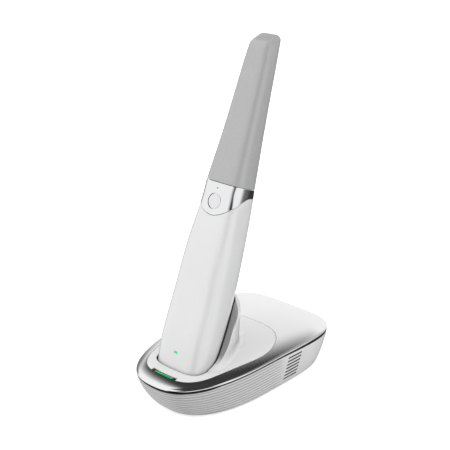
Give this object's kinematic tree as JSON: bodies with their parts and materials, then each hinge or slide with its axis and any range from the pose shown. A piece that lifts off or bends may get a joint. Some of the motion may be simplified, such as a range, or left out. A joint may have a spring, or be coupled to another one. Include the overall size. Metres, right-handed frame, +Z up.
{
  "type": "intraoral scanner",
  "caption": "Wireless intraoral scanner handpiece leaning in its charging dock: white handle, metal collar, grey pull-off tip, round scan button, ribbed cradle with light bar.",
  "frame": {"origin": "centre of the bounding box in X and Y, at the underside of the rubber feet", "axes": "+Z up; the light bar and the dock's nose point to -Y; the dock's rear with its power socket is at +Y; the handpiece leans back towards +Y; +X is the dock's left seen from behind it"},
  "size_m": [0.1042, 0.1746, 0.2796],
  "materials": {
    "gloss_white": "glossy white moulding",
    "shell_grey": "light grey moulding, soft ribs",
    "insert_grey": "light grey satin moulding",
    "tip_grey": "mid grey, fine matt",
    "chrome": "mirror bright",
    "button_satin": "satin light grey",
    "black_plastic": "black, smooth",
    "green_light": "translucent green light guide",
    "rubber": "dark matt rubber",
    "steel": "bare steel",
    "aluminium": "bare, satin",
    "circuit_board": "green board",
    "gold_contact": "gold plated",
    "battery_wrap": "blue shrink wrap",
    "clear_glass": "clear",
    "mirror": "front surface mirror",
    "flex_amber": "amber film"
  },
  "bodies": {
    "dock_and_handpiece": {"ballast_plate": "steel", "battery_light_lens": "green_light", "battery_pack": "battery_wrap", "button_switch": "black_plastic", "camera_lens": "clear_glass", "camera_module": "black_plastic", "charge_pad_left": "gold_contact", "charge_pad_right": "gold_contact", "contact_block": "black_plastic", "contact_flex": "flex_amber", "cradle_insert": "insert_grey", "dock_board": "circuit_board", "dock_lower_shell": "shell_grey", "dock_radio_can": "steel", "dock_screw_front_left": "steel", "dock_screw_front_right": "steel", "dock_screw_rear_left": "steel", "dock_screw_rear_right": "steel", "dock_top_cover": "chrome", "end_cap_screw_left": "steel", "end_cap_screw_right": "steel", "foot_front_left": "rubber", "foot_front_right": "rubber", "foot_rear_left": "rubber", "foot_rear_right": "rubber", "handle_end_cap": "black_plastic", "handle_housing": "gloss_white", "handpiece_radio_can": "steel", "heat_spreader": "aluminium", "internal_frame": "aluminium", "light_bar_bezel": "black_plastic", "light_board": "circuit_board", "light_guide": "green_light", "main_board": "circuit_board", "metal_collar": "chrome", "nose_seal_ring": "rubber", "nose_window": "clear_glass", "optics_bench": "aluminium", "optics_nose": "black_plastic", "power_socket": "steel", "projector_lens": "clear_glass", "projector_module": "black_plastic", "status_light_pipe": "green_light"},
    "tip": {"tip_mirror": "mirror", "tip_sleeve": "tip_grey"},
    "button": {"scan_button": "button_satin"},
    "pin_left": {"charging_pin_left": "gold_contact"},
    "pin_right": {"charging_pin_right": "gold_contact"}
  },
  "joints": [
    {"name": "tip_pull_off", "type": "slide", "parent": "dock_and_handpiece", "child": "tip", "axis": [0, 0.3746, 0.9272], "range_m": [0, 0.06]},
    {"name": "scan_button_press", "type": "slide", "parent": "dock_and_handpiece", "child": "button", "axis": [0, 0.9272, -0.3746], "range_m": [0, 0.0008], "stiffness_N_per_m": 2500},
    {"name": "charging_pin_left_travel", "type": "slide", "parent": "dock_and_handpiece", "child": "pin_left", "axis": [0, -0.3746, -0.9272], "range_m": [0, 0.0006], "stiffness_N_per_m": 300},
    {"name": "charging_pin_right_travel", "type": "slide", "parent": "dock_and_handpiece", "child": "pin_right", "axis": [0, -0.3746, -0.9272], "range_m": [0, 0.0006], "stiffness_N_per_m": 300}
  ]
}
